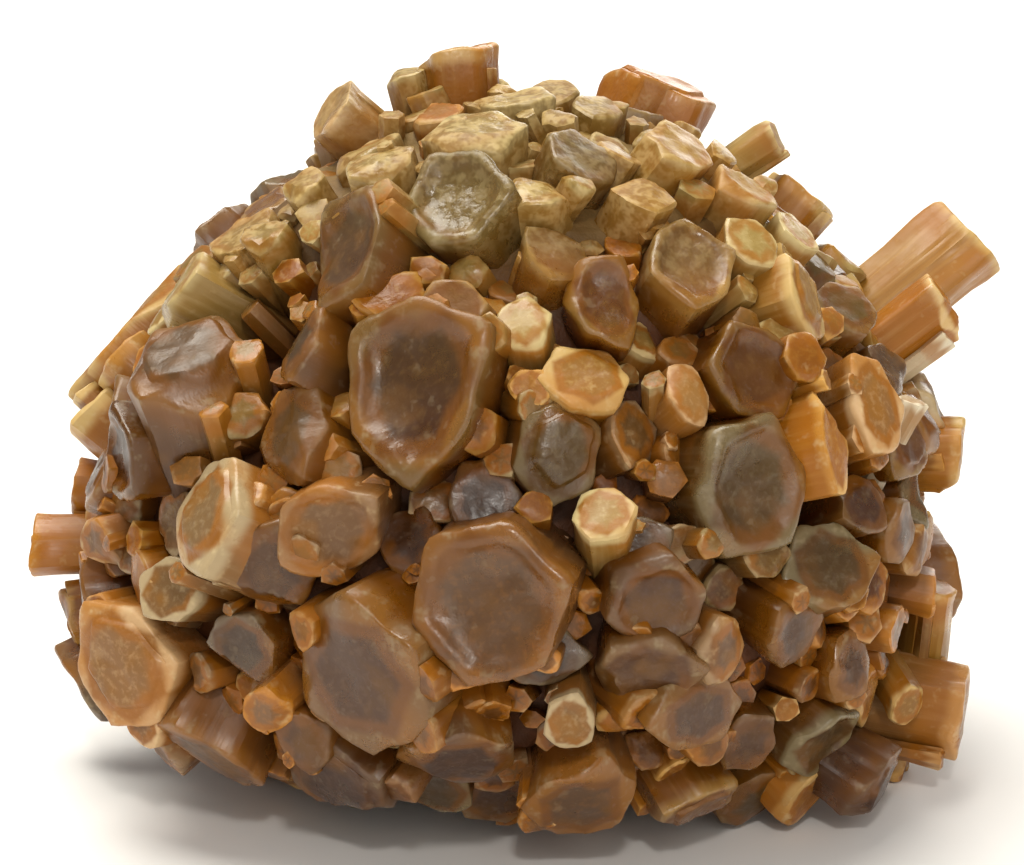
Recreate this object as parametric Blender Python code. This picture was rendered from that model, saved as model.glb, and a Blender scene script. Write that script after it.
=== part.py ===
"""Aragonite sputnik cluster: hexagonal prisms grown out of one centre into a spiky ball."""

import math
import random

import bmesh
import bpy
from mathutils import Matrix, Vector

MM = 0.001

# Driving dimensions: the growth surface is the rounded surface that most crystal ends reach
GROWTH_CENTRE = Vector((-0.39, 0.88, 11.0)) * MM
GROWTH_ACROSS = 22.6 * MM
GROWTH_DEEP = 20.5 * MM
GROWTH_UP = 25.2 * MM
GROWTH_DOWN = 11.9 * MM
CORE_SHARE = 0.89
CORE_DOWN = 12.4 * MM
CORE_ROUGHNESS = 0.6 * MM

# The front is laid out as it is seen from this rise above level, from this far away, by an eye
# that is this much higher than the growth centre
VIEW_RISE = math.radians(15.0)
VIEW_DISTANCE = 185.0 * MM
VIEW_LIFT = 6.7 * MM

# Crystal form, as shares of the crystal's width. WIDENING makes room for what neighbours hide
WIDENING = 1.10
ROOT_TAPER = 0.80
END_BEVEL = 0.07
DISH_RIM = 0.15
DISH_DEPTH = 0.06
BEVELLED_FROM = 6.0 * MM
SIDE_JITTER = 0.07
ROOT_DEPTH = 0.45

# The rest of the ball: a crystal wherever the growth surface still has room for one. The large
# ones stand round the back, and the others between them and between the crystals on the front.
# "facing" is the most that a crystal's direction may turn towards the viewer, as a cosine
FILL_TRIES = 1600
FILL_SEED = 40
FILL_OVERLAP = 0.7 * MM
LOWEST_CLIMB = math.radians(-62.0)
LARGE = {"facing": 0.05, "room": 2.2 * MM, "radius": (2.5 * MM, 3.9 * MM), "lean": 0.16,
         "out": (-0.6 * MM, 1.6 * MM), "dished": 0.3}
MIDDLING = {"facing": 1.0, "room": 1.3 * MM, "radius": (1.5 * MM, 2.5 * MM), "lean": 0.22,
            "out": (-1.3 * MM, 0.3 * MM), "dished": 0.0}
FOOTPRINTS = (0.0, 0.25, 0.5)
FOOT_REACH = 14.0 * MM

MINERAL_COLOUR = (0.42, 0.22, 0.08, 1.0)
MINERAL_ROUGHNESS = 0.35

# End-on crystals: across and up to the middle of the end face as seen from the front, wide and
# tall of that face, turn about its axis in degrees, how far it stands out, in millimetres, its
# form, and for those that lean, how far aside and upward in degrees
END_ON = {
    "middle": [
        (-4.9, 8.8, 7.0, 9.2, 30, 1.2, "dished", -4, -12),
        (-1.1, -2.1, 7.2, 7.4, 14, 2.6, "dished", -8, -8),
        (-7.6, -5.7, 7.8, 7.6, 20, 1.4, "plain", -24, -16),
        (-9.2, 1.3, 4.8, 5.2, 30, 1.1, "dished", 4, -22),
        (-1.7, 3.4, 3.4, 3.4, 0, -1.0, "plain"),
        (-5.6, 1.1, 3.0, 3.2, 15, -0.7, "plain"),
        (1.5, -5.2, 4.2, 3.4, 0, -0.4, "plain"),
        (2.5, 5.8, 4.2, 5.2, 20, 0.0, "plain", 16, -18),
        (4.1, 9.6, 4.2, 3.4, 0, 0.2, "plain"),
        (4.5, 2.4, 3.0, 3.0, 10, 1.2, "plain", -14, 22),
        (6.6, 1.0, 3.2, 3.0, 20, 0.2, "plain"),
        (6.7, 7.0, 2.8, 3.4, 5, -0.7, "plain", 24, 4),
        (9.1, 8.4, 2.1, 3.4, 0, 0.6, "plain"),
        (7.2, -2.3, 5.6, 5.0, 22, 1.2, "dished", 0, -20),
        (6.7, -6.0, 5.0, 4.2, 5, 0.6, "plain", -16, -22),
        (12.1, 3.7, 6.2, 6.4, 10, 1.2, "dished", 6, -10),
        (12.5, 9.7, 5.2, 4.8, 0, 0.9, "dished", -6, -14),
    ],
    "foot": [
        (-2.6, -10.2, 5.9, 5.6, 32, 1.0, "plain", 14, -30),
        (3.3, -12.0, 5.2, 5.2, 8, 1.5, "plain", -8, -24),
        (8.9, -12.0, 4.8, 4.2, 0, 1.6, "plain", 16, -28),
        (2.9, -8.2, 2.4, 2.9, 15, 1.2, "plain"),
        (9.6, -7.9, 6.6, 4.4, 12, 0.6, "plain", 18, -14),
        (12.5, -9.6, 3.0, 3.2, 0, 0.2, "plain"),
        (-9.0, -11.4, 6.4, 4.8, 10, 0.6, "plain", -16, -26),
        (-10.8, -9.4, 3.2, 3.4, 25, 0.4, "plain"),
        (12.4, -12.4, 3.2, 4.4, 10, 0.6, "plain", 14, -24),
        (15.2, -12.4, 3.0, 3.4, 0, 0.4, "plain"),
    ],
    "upper front": [
        (4.7, 13.3, 3.9, 4.4, 0, 0.8, "dished", -4, -16),
        (9.2, 15.2, 4.4, 5.6, 15, 0.8, "dished", -6, -10),
        (-3.0, 18.4, 5.4, 6.0, 10, 0.8, "dished", -12, -16),
        (-8.6, 16.0, 5.6, 6.0, 20, 0.9, "dished", -20, -6),
        (-6.2, 13.6, 3.4, 2.6, 0, 0.4, "plain"),
        (-3.0, 12.8, 3.0, 3.0, 10, 0.7, "plain"),
        (0.4, 12.4, 2.6, 3.0, 20, 0.2, "plain"),
        (2.3, 16.1, 3.4, 3.2, 10, 0.3, "plain"),
        (1.1, 19.2, 3.0, 2.7, 8, 0.5, "plain"),
        (3.6, 20.8, 4.2, 4.4, 12, 0.5, "plain", 14, -12),
        (6.9, 19.0, 3.0, 2.8, 20, 0.5, "plain"),
        (-1.9, 22.3, 4.6, 4.2, 0, 0.6, "plain"),
        (-6.8, 20.6, 3.2, 3.6, 5, 0.6, "plain"),
        (8.8, 21.3, 3.8, 3.6, 15, 0.6, "plain", 22, 6),
        (12.2, 19.4, 3.6, 3.4, 5, 0.5, "plain"),
        (12.4, 16.4, 2.8, 3.0, 0, 0.5, "plain"),
        (15.1, 13.8, 3.8, 4.4, 10, 0.6, "plain", 24, -12),
        (15.0, 17.2, 2.8, 2.8, 0, 0.2, "plain"),
        (-11.0, 11.2, 3.2, 4.4, 0, 0.4, "plain", -30, 6),
        (-11.5, 6.6, 3.8, 4.8, 10, 0.4, "plain", -26, 0),
    ],
    "left flank": [
        (-16.7, 10.3, 6.6, 6.4, 12, 1.0, "plain", 26, 22),
        (-20.0, 5.2, 4.5, 4.6, 20, 1.0, "dished", -10, -14),
        (-21.6, 0.9, 3.2, 2.8, 10, 0.4, "plain"),
        (-15.4, 2.4, 4.8, 6.4, 0, 1.0, "plain", -22, 18),
        (-12.4, -0.7, 4.4, 4.8, 15, 0.2, "plain", 22, -14),
        (-19.6, -1.1, 3.0, 3.0, 0, 0.0, "plain"),
        (-22.4, -1.8, 3.2, 4.0, 5, 0.2, "plain"),
        (-19.2, -5.3, 6.4, 6.8, 5, 1.4, "plain", 26, 8),
        (-18.4, -9.6, 4.4, 4.2, 20, 0.4, "plain", -14, -22),
        (-14.9, -9.8, 5.0, 6.4, 8, 1.2, "plain", 4, -42),
        (-14.4, -4.6, 3.6, 3.8, 0, -0.2, "plain"),
        (-12.6, -7.8, 2.8, 2.6, 10, 0.7, "plain"),
    ],
    "right flank": [
        (18.4, 7.8, 3.4, 5.2, 0, 1.0, "plain", -20, -8),
        (15.8, 5.8, 2.8, 5.8, 0, 1.6, "plain", 38, 8),
        (16.4, -0.4, 4.4, 5.0, 10, 0.6, "plain", -24, 10),
        (14.7, -3.9, 3.8, 3.8, 25, 0.4, "plain", 16, -22),
        (10.8, -4.6, 2.8, 3.4, 0, 0.9, "plain"),
        (13.4, 0.2, 2.8, 2.4, 0, 0.2, "plain"),
        (15.8, -9.2, 4.4, 4.0, 0, 1.0, "dished", 8, -16),
        (17.8, -5.6, 3.2, 3.4, 10, 0.2, "plain"),
        (18.8, -11.6, 4.4, 3.8, 5, 0.6, "plain"),
        (20.3, 1.6, 3.0, 3.2, 0, 0.4, "plain"),
    ],
}

# Side-on crystals: across, up and towards the viewer to the middle of the end face, wide and
# deep of the prism, length, the way it points in the view in degrees, and its nod to the viewer
SIDE_ON = {
    "crown": [
        (-2.8, 26.6, 3.0, 4.1, 4.4, 13.0, 95, 10),
        (-5.6, 25.3, 3.5, 2.2, 2.6, 12.0, 106, 15),
        (-9.4, 23.2, 5.0, 3.7, 4.5, 11.0, 140, 20),
        (1.9, 24.3, 4.0, 3.2, 3.6, 12.0, 86, 20),
        (8.3, 25.1, -1.0, 6.4, 5.2, 14.0, 66, 5),
        (14.0, 22.3, 0.0, 2.5, 3.2, 11.0, 32, 12),
        (15.4, 19.6, -2.5, 4.0, 4.4, 12.0, 51, 0),
        (17.6, 16.2, -2.0, 3.2, 3.8, 12.0, 44, 0),
        (-12.9, 18.6, 3.0, 3.4, 4.4, 12.0, 122, 20),
        (-9.8, 19.6, 7.0, 3.2, 3.4, 10.0, 118, 32),
        (-16.4, 15.6, 4.0, 2.8, 3.0, 11.0, 130, 30),
    ],
    "long pair": [
        (24.7, 17.2, -3.5, 4.8, 4.8, 22.0, 39, -6),
        (22.8, 13.7, 0.5, 4.0, 4.0, 18.0, 37, 4),
    ],
    "right edge": [
        (22.3, 8.3, 0.0, 4.2, 4.0, 12.0, 22, 8),
        (23.5, 5.4, 1.0, 3.9, 3.6, 12.0, 0, 8),
        (21.4, 1.3, 3.0, 3.2, 3.0, 10.0, -4, 28),
        (21.8, -1.2, 2.0, 2.9, 3.2, 7.0, 86, 20),
        (23.4, -8.0, 3.0, 5.2, 4.8, 13.0, -10, 14),
        (20.2, -7.2, 6.0, 2.4, 2.4, 7.0, -60, 40),
        (20.8, -10.8, 0.0, 3.2, 4.0, 10.0, -20, 5),
    ],
    "left edge": [
        (-20.0, 12.8, -0.4, 10.4, 5.2, 14.0, 139.5, 0),
        (-22.8, 7.0, -1.0, 2.6, 3.4, 11.0, 168, 5),
        (-23.3, 3.6, -2.0, 3.2, 3.6, 11.0, 176, 0),
        (-25.2, 0.6, 0.0, 3.4, 3.2, 12.0, 182, 4),
        (-23.5, -3.0, 0.0, 3.2, 3.2, 10.0, 190, 0),
        (-22.9, -6.9, -1.5, 5.6, 4.4, 12.0, 215, 0),
    ],
}

# Places that stay open: across and up to the middle as seen from the front, and the radius
OPEN_PLACES = [
    (-14.4, 12.6, 2.0),
    (-15.0, 20.0, 4.6),
    (22.6, 3.2, 2.0),
]


def clear_scene():
    """Removes whatever the open file holds, so that the part starts from nothing."""
    for item in list(bpy.data.objects):
        bpy.data.objects.remove(item, do_unlink=True)


def new_collection(name):
    """A collection directly under the scene."""
    collection = bpy.data.collections.new(name)
    bpy.context.scene.collection.children.link(collection)
    return collection


def view_axes():
    """The directions right, up and towards the viewer, for the front as it is seen."""
    right = Vector((1.0, 0.0, 0.0))
    up = Vector((0.0, math.sin(VIEW_RISE), math.cos(VIEW_RISE)))
    toward = Vector((0.0, -math.cos(VIEW_RISE), math.sin(VIEW_RISE)))
    return right, up, toward


def growth_axes(direction):
    """The growth surface's three radii on the side where the direction points."""
    up = GROWTH_UP if direction.z >= 0.0 else GROWTH_DOWN
    return GROWTH_ACROSS, GROWTH_DEEP, up


def growth_level(offset):
    """1 on the growth surface, less inside it, for an offset from the growth centre."""
    across, deep, up = growth_axes(offset)
    return math.sqrt((offset.x / across) ** 2 + (offset.y / deep) ** 2 + (offset.z / up) ** 2)


def seen_place(across, up):
    """The offset where the line of sight through a seen place first meets the growth surface."""
    right_axis, up_axis, toward_axis = view_axes()
    eye = toward_axis * VIEW_DISTANCE + up_axis * VIEW_LIFT
    sight = (right_axis * across + up_axis * up - eye).normalized()
    best = None
    best_level = math.inf
    steps = 400
    for step in range(steps):
        travel = VIEW_DISTANCE * (0.8 + 0.3 * step / steps)
        offset = eye + sight * travel
        level = growth_level(offset)
        if level <= 1.0:
            return offset
        if level < best_level:
            best = offset
            best_level = level
    return best


def prism_mesh(wide, tall, length, turn, dished, rng):
    """A prism along +Z whose end face is at the origin, six-sided, wide along X, tall along Y."""
    mesh = bmesh.new()
    bmesh.ops.create_cone(mesh, cap_ends=True, segments=6, radius1=0.5 * ROOT_TAPER,
                          radius2=0.5, depth=length)
    bmesh.ops.translate(mesh, verts=mesh.verts, vec=(0.0, 0.0, -length / 2.0))
    spin = Matrix.Rotation(math.radians(turn), 3, "Z")
    nudges = [Vector((rng.uniform(-1, 1), rng.uniform(-1, 1), 0.0)) * SIDE_JITTER for _ in range(6)]
    for vert in mesh.verts:
        slot = round(math.atan2(vert.co.y, vert.co.x) / math.radians(60.0)) % 6
        moved = spin @ (vert.co + nudges[slot])
        vert.co = Vector((moved.x * wide, moved.y * tall, moved.z))
    if min(wide, tall) >= BEVELLED_FROM:
        bevel_end(mesh, min(wide, tall) * END_BEVEL)
    if dished:
        dish_end(mesh, min(wide, tall))
    bmesh.ops.recalc_face_normals(mesh, faces=mesh.faces)
    return mesh


def end_face(mesh):
    """The face furthest along +Z."""
    return max(mesh.faces, key=lambda face: face.calc_center_median().z)


def bevel_end(mesh, width):
    """Breaks the sharp edges round the end face."""
    edges = list(end_face(mesh).edges)
    bmesh.ops.bevel(mesh, geom=edges, offset=width, offset_type="OFFSET", segments=1,
                    profile=0.5, affect="EDGES")


def dish_end(mesh, width):
    """Sinks the middle of the end face and leaves a raised rim round it."""
    face = end_face(mesh)
    bmesh.ops.inset_individual(mesh, faces=[face], thickness=width * DISH_RIM,
                               depth=-width * DISH_DEPTH)


def stand(mesh, place, axis, side_hint):
    """Turns a prism so that it points along axis with its end face at place."""
    side = side_hint.cross(axis).normalized()
    rise = axis.cross(side).normalized()
    turned = Matrix((side, rise, axis)).transposed().to_4x4()
    mesh.transform(Matrix.Translation(place) @ turned)


def level_off(mesh):
    """Cuts a closed shape flat at the resting plane, if it reaches below."""
    if min(vert.co.z for vert in mesh.verts) >= 0.0:
        return
    everything = mesh.verts[:] + mesh.edges[:] + mesh.faces[:]
    bmesh.ops.bisect_plane(mesh, geom=everything, plane_co=(0.0, 0.0, 0.0),
                           plane_no=(0.0, 0.0, -1.0), clear_outer=True, dist=0.0)
    rim = [edge for edge in mesh.edges if len(edge.link_faces) == 1]
    for edge in rim:
        for vert in edge.verts:
            vert.co.z = 0.0
    bmesh.ops.edgeloop_fill(mesh, edges=rim)
    bmesh.ops.recalc_face_normals(mesh, faces=mesh.faces)


def add_crystal(name, mesh, collection):
    """Puts one finished prism into the collection of operands."""
    level_off(mesh)
    data = bpy.data.meshes.new(name)
    mesh.to_mesh(data)
    mesh.free()
    item = bpy.data.objects.new(name, data)
    item.hide_render = True
    item.display_type = "WIRE"
    collection.objects.link(item)
    return item


def end_on_crystals(collection, rng):
    """The crystals that point at the viewer, out from the growth centre or leaning to a side."""
    right_axis, up_axis, _ = view_axes()
    grown = []
    for region, rows in END_ON.items():
        for number, row in enumerate(rows, start=1):
            across, up, wide, tall, turn, out, form, *lean = row
            aside, upward = lean or (0.0, 0.0)
            offset = seen_place(across * MM, up * MM)
            direction = offset.normalized()
            axis = direction + right_axis * math.tan(math.radians(aside))
            axis = (axis + up_axis * math.tan(math.radians(upward))).normalized()
            reach = offset.length + out * MM
            length = reach * (1.0 - ROOT_DEPTH)
            mesh = prism_mesh(wide * WIDENING * MM, tall * WIDENING * MM, length, turn,
                              form == "dished", rng)
            stand(mesh, GROWTH_CENTRE + direction * reach, axis, up_axis)
            add_crystal(f"{region} {number}", mesh, collection)
            grown.append((direction, (wide + tall) / 4.0 * MM))
    return grown


def side_on_crystals(collection, rng):
    """The crystals seen from their sides round the outline, each with its own direction."""
    right_axis, up_axis, toward_axis = view_axes()
    grown = []
    for region, rows in SIDE_ON.items():
        for number, row in enumerate(rows, start=1):
            across, up, toward, wide, deep, length, heading, nod = row
            offset = (right_axis * across + up_axis * up + toward_axis * toward) * MM
            in_view = right_axis * math.cos(math.radians(heading))
            in_view += up_axis * math.sin(math.radians(heading))
            axis = in_view * math.cos(math.radians(nod)) + toward_axis * math.sin(math.radians(nod))
            mesh = prism_mesh(wide * MM, deep * MM, length * MM, 0.0, False, rng)
            stand(mesh, GROWTH_CENTRE + offset, axis, toward_axis)
            add_crystal(f"{region} {number}", mesh, collection)
            for share in FOOTPRINTS:
                along = offset - axis * length * share * MM
                grown.append((along.normalized(), wide / 2.0 * MM))
    return grown


def even_directions(count):
    """Directions spread evenly over the ball along one spiral."""
    golden = math.pi * (3.0 - math.sqrt(5.0))
    for number in range(count):
        height = 1.0 - 2.0 * (number + 0.5) / count
        ring = math.sqrt(1.0 - height * height)
        around = golden * number
        yield Vector((ring * math.cos(around), ring * math.sin(around), height))


def open_places():
    """The places where no further crystal grows, as if something already stood there."""
    return [(seen_place(across * MM, up * MM).normalized(), radius * MM)
            for across, up, radius in OPEN_PLACES]


def room_round(direction, grown):
    """How far the growth surface is free round a direction, up to the nearest crystal's side."""
    reach = 1.0 / growth_level(direction)
    return min(reach * direction.angle(middle) - radius for middle, radius in grown)


def fill_places(size, chooser, grown):
    """Where one size of crystal still finds room: its direction, axis, radius, turn and reach."""
    toward_axis = view_axes()[2]
    for direction in even_directions(FILL_TRIES):
        if direction.dot(toward_axis) > size["facing"] or math.asin(direction.z) < LOWEST_CLIMB:
            continue
        room = room_round(direction, grown)
        if room < size["room"]:
            continue
        radius = min(chooser.uniform(*size["radius"]), room + FILL_OVERLAP)
        lean = Vector((chooser.uniform(-1, 1), chooser.uniform(-1, 1), chooser.uniform(-1, 1)))
        axis = (direction + lean * size["lean"]).normalized()
        turn = chooser.uniform(0.0, 60.0)
        reach = 1.0 / growth_level(direction) + chooser.uniform(*size["out"])
        dished = chooser.random() < size["dished"]
        grown.append((direction, radius))
        yield direction, axis, radius, turn, reach, dished


def fill_crystals(collection, rng, grown):
    """The crystals round the back and those wedged between the others."""
    chooser = random.Random(FILL_SEED)
    for name, size in (("large", LARGE), ("middling", MIDDLING)):
        places = fill_places(size, chooser, grown)
        for number, (direction, axis, radius, turn, reach, dished) in enumerate(places, start=1):
            mesh = prism_mesh(radius * 2.0, radius * 1.8, reach * (1.0 - ROOT_DEPTH), turn,
                              dished, rng)
            stand(mesh, GROWTH_CENTRE + direction * reach, axis, Vector((0.0, 0.0, 1.0)))
            add_crystal(f"{name} {number}", mesh, collection)


def foot_crystals(collection, rng):
    """Short stout crystals under the ball, whose ends the resting plane levels off."""
    count = 7
    for number in range(count):
        around = math.tau * number / count + rng.uniform(-0.2, 0.2)
        climb = math.radians(rng.uniform(-68.0, -54.0))
        axis = Vector((math.cos(around) * math.cos(climb), math.sin(around) * math.cos(climb),
                       math.sin(climb)))
        width = rng.uniform(5.0, 6.4) * MM
        mesh = prism_mesh(width, width * 0.92, FOOT_REACH * 0.8, rng.uniform(0, 60), False, rng)
        stand(mesh, GROWTH_CENTRE + axis * FOOT_REACH, axis, Vector((0.0, 0.0, 1.0)))
        add_crystal(f"underside {number + 1}", mesh, collection)


def rough_core(name, collection, rng):
    """The solid middle where all the crystals run together, a lumpy ball inside their ends."""
    mesh = bmesh.new()
    bmesh.ops.create_icosphere(mesh, subdivisions=3, radius=1.0)
    for vert in mesh.verts:
        reach = CORE_SHARE / growth_level(vert.co)
        if vert.co.z < 0.0:
            reach = max(reach, CORE_DOWN * -vert.co.z)
        reach += rng.uniform(-CORE_ROUGHNESS, CORE_ROUGHNESS)
        vert.co = GROWTH_CENTRE + vert.co.normalized() * reach
    bmesh.ops.recalc_face_normals(mesh, faces=mesh.faces)
    level_off(mesh)
    data = bpy.data.meshes.new(name)
    mesh.to_mesh(data)
    mesh.free()
    item = bpy.data.objects.new(name, data)
    collection.objects.link(item)
    return item


def union_with(item, operands):
    """Grows the crystals together with the core."""
    union = item.modifiers.new("grown together", "BOOLEAN")
    union.operation = "UNION"
    union.operand_type = "COLLECTION"
    union.collection = operands
    union.solver = "EXACT"


def shell_volume(faces):
    """Signed volume inside a set of faces, negative for a pocket."""
    total = 0.0
    for face in faces:
        first, *others = [vert.co for vert in face.verts]
        for second, third in zip(others, others[1:]):
            total += first.dot(second.cross(third)) / 6.0
    return total


def connected_shells(mesh):
    """Lists of faces, one for each closed surface in the mesh."""
    waiting = set(mesh.faces)
    while waiting:
        stack = [waiting.pop()]
        shell = []
        while stack:
            face = stack.pop()
            shell.append(face)
            for edge in face.edges:
                for other in edge.link_faces:
                    if other in waiting:
                        waiting.remove(other)
                        stack.append(other)
        yield shell


def fill_pockets(mesh):
    """Fills any pocket that the crystals have closed off between them."""
    shells = list(connected_shells(mesh))
    largest = max(shells, key=shell_volume)
    spare = [face for shell in shells if shell is not largest for face in shell]
    bmesh.ops.delete(mesh, geom=spare, context="FACES")


def make_solid(item):
    """Applies the union and fills the pockets."""
    graph = bpy.context.evaluated_depsgraph_get()
    data = bpy.data.meshes.new_from_object(item.evaluated_get(graph))
    mesh = bmesh.new()
    mesh.from_mesh(data)
    fill_pockets(mesh)
    mesh.to_mesh(data)
    mesh.free()
    item.modifiers.clear()
    item.data = data


def mineral_material():
    """Honey-coloured aragonite."""
    material = bpy.data.materials.new("aragonite")
    material.use_nodes = True
    shader = material.node_tree.nodes["Principled BSDF"]
    shader.inputs["Base Color"].default_value = MINERAL_COLOUR
    shader.inputs["Roughness"].default_value = MINERAL_ROUGHNESS
    shader.inputs["Metallic"].default_value = 0.0
    return material


def build():
    """The whole cluster, standing on the resting plane."""
    clear_scene()
    rng = random.Random(11)
    part = new_collection("aragonite sputnik cluster")
    prisms = new_collection("prisms")
    grown = end_on_crystals(prisms, rng)
    grown += side_on_crystals(prisms, rng)
    grown += open_places()
    fill_crystals(prisms, rng, grown)
    foot_crystals(prisms, rng)
    cluster = rough_core("aragonite_cluster", part, rng)
    union_with(cluster, prisms)
    make_solid(cluster)
    cluster.data.materials.clear()
    cluster.data.materials.append(mineral_material())


build()
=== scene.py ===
import math
import random

import bmesh
import bpy
import numpy as np
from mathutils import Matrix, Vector


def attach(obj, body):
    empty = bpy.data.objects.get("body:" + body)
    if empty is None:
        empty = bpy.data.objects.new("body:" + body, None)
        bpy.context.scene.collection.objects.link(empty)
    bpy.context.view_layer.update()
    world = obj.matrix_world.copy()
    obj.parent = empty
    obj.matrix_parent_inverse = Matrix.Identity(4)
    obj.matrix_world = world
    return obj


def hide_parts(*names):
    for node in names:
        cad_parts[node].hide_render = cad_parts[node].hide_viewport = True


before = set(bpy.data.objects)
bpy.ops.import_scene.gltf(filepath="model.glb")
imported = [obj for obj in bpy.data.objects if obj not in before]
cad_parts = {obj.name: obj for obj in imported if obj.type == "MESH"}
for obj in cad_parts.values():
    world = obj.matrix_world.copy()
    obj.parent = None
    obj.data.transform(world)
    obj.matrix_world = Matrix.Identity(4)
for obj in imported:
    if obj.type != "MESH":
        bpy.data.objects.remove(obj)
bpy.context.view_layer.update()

MM = 0.001


# The camera
# It looks at the cluster from in front and a little above, as the photo does, and the crystals
# on the front are laid out by what it sees, so it comes before them.
LOOK_DOWN = math.radians(15.0)
EYE_DISTANCE = 185.0 * MM
EYE_LIFT = 6.7 * MM
GROWTH_CENTRE = Vector((-0.39, 0.88, 11.0)) * MM
PICTURE_WIDTH = 1024
PIXELS_PER_MM = 19.0

RIGHT = Vector((1.0, 0.0, 0.0))
UP = Vector((0.0, math.sin(LOOK_DOWN), math.cos(LOOK_DOWN)))
TOWARD = Vector((0.0, -math.cos(LOOK_DOWN), math.sin(LOOK_DOWN)))

camera_data = bpy.data.cameras.new("camera")
camera_data.sensor_width = 36.0
camera_data.lens = 36.0 * PIXELS_PER_MM * (EYE_DISTANCE / MM) / PICTURE_WIDTH
camera_data.clip_start = 0.01
camera_data.clip_end = 20.0
camera = bpy.data.objects.new("camera", camera_data)
bpy.context.scene.collection.objects.link(camera)
camera.location = GROWTH_CENTRE + UP * EYE_LIFT + TOWARD * EYE_DISTANCE
camera.rotation_euler = (-TOWARD).to_track_quat("-Z", "Y").to_euler()
bpy.context.scene.camera = camera


# The middle of the cluster
# Where all the prisms run together there is one solid mass of reddish-brown aragonite with
# a crust of paler grains on top. It shows only in the crevices between the crystals, where its
# very dark colour is painted shade.
GROWTH_ACROSS = 22.6 * MM
GROWTH_DEEP = 20.5 * MM
GROWTH_UP = 25.2 * MM
GROWTH_DOWN = 11.9 * MM
CORE_SHARE = 0.88
CORE_DOWN = 12.4 * MM
CORE_LUMPS = 1.6 * MM
CORE_LUMP_SIZE = 3.0 * MM
CORE_GRAINS = 0.9 * MM
CORE_GRAIN_SIZE = 0.9 * MM
CROWN_MIDDLE = (UP * 0.92 + TOWARD * 0.38).normalized()
CROWN_EDGE = 0.80
CROWN_RISE = 0.05
RECESS_MIDDLE = (RIGHT * -14.4 + UP * 12.6 + TOWARD * 11.0).normalized()
RECESS_ANGLE = math.radians(11.0)
RECESS_DEPTH = 0.10
LOWEST = 0.02 * MM
GLOSS_SHEEN = 0.014
LEAST_COLOUR = 0.15


def growth_level(offset):
    """1 on the rounded surface that most crystal ends reach, less inside it."""
    up = GROWTH_UP if offset.z >= 0.0 else GROWTH_DOWN
    return math.sqrt((offset.x / GROWTH_ACROSS) ** 2 + (offset.y / GROWTH_DEEP) ** 2
                     + (offset.z / up) ** 2)


def select_only(item):
    """Makes one object the only selected and the active one."""
    bpy.ops.object.select_all(action="DESELECT")
    item.select_set(True)
    bpy.context.view_layer.objects.active = item


def displace(item, size, strength, stretch=1.0):
    """Moves the surface in and out with a cloudy pattern, stretched along Z if asked."""
    clouds = bpy.data.textures.new("clouds", "CLOUDS")
    clouds.noise_scale = size
    clouds.noise_depth = 2
    guide = bpy.data.objects.new("guide", None)
    bpy.context.scene.collection.objects.link(guide)
    guide.scale = (1.0, 1.0, stretch)
    bpy.context.view_layer.update()
    push = item.modifiers.new("clouds", "DISPLACE")
    push.texture = clouds
    push.texture_coords = "OBJECT"
    push.texture_coords_object = guide
    push.strength = strength
    push.mid_level = 0.5
    select_only(item)
    bpy.ops.object.modifier_apply(modifier=push.name)
    bpy.data.objects.remove(guide)
    bpy.data.textures.remove(clouds)


def level_off(item):
    """Presses whatever reaches below the resting plane flat on it."""
    for vert in item.data.vertices:
        vert.co.z = max(vert.co.z, LOWEST)


def new_material(name, roughness, transmission, ior=1.6):
    """A Principled material with plain gloss values, and the nodes to build its colour with."""
    material = bpy.data.materials.new(name)
    material.use_nodes = True
    shader = material.node_tree.nodes["Principled BSDF"]
    shader.inputs["Roughness"].default_value = roughness
    shader.inputs["IOR"].default_value = ior
    shader.inputs["Transmission Weight"].default_value = transmission
    shader.inputs["Specular IOR Level"].default_value = 0.3
    return material, material.node_tree.nodes, material.node_tree.links, shader


def mix_colours(tree, factor, first, second, blend="MIX"):
    """Mixes two colours, each a socket or a plain colour, by a socket or a plain factor."""
    node = tree.nodes.new("ShaderNodeMix")
    node.data_type = "RGBA"
    node.blend_type = blend
    for socket, value in ((0, factor), (6, first), (7, second)):
        if isinstance(value, bpy.types.NodeSocket):
            tree.links.new(value, node.inputs[socket])
        else:
            node.inputs[socket].default_value = value
    return node.outputs[2]


def noise(tree, coordinates, scale, detail=3.0, roughness=0.55):
    """A noise pattern's value on the given coordinates."""
    node = tree.nodes.new("ShaderNodeTexNoise")
    node.inputs["Scale"].default_value = scale
    node.inputs["Detail"].default_value = detail
    node.inputs["Roughness"].default_value = roughness
    tree.links.new(coordinates, node.inputs["Vector"])
    return node.outputs["Fac"]


def ramp(tree, value, low, high, start=0.0, end=1.0):
    """Stretches a value from the range low..high to start..end, with soft ends."""
    node = tree.nodes.new("ShaderNodeMapRange")
    node.interpolation_type = "SMOOTHSTEP"
    node.inputs["From Min"].default_value = low
    node.inputs["From Max"].default_value = high
    node.inputs["To Min"].default_value = start
    node.inputs["To Max"].default_value = end
    tree.links.new(value, node.inputs["Value"])
    return node.outputs["Result"]


def colour(red, green, blue):
    """A colour given as it looks on a screen, 0 to 255, less the sheen that the gloss adds to it."""
    def linear(value):
        share = value / 255.0
        seen = share / 12.92 if share <= 0.04045 else ((share + 0.055) / 1.055) ** 2.4
        return max(seen - GLOSS_SHEEN, LEAST_COLOUR * seen)
    return (linear(red), linear(green), linear(blue), 1.0)


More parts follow.
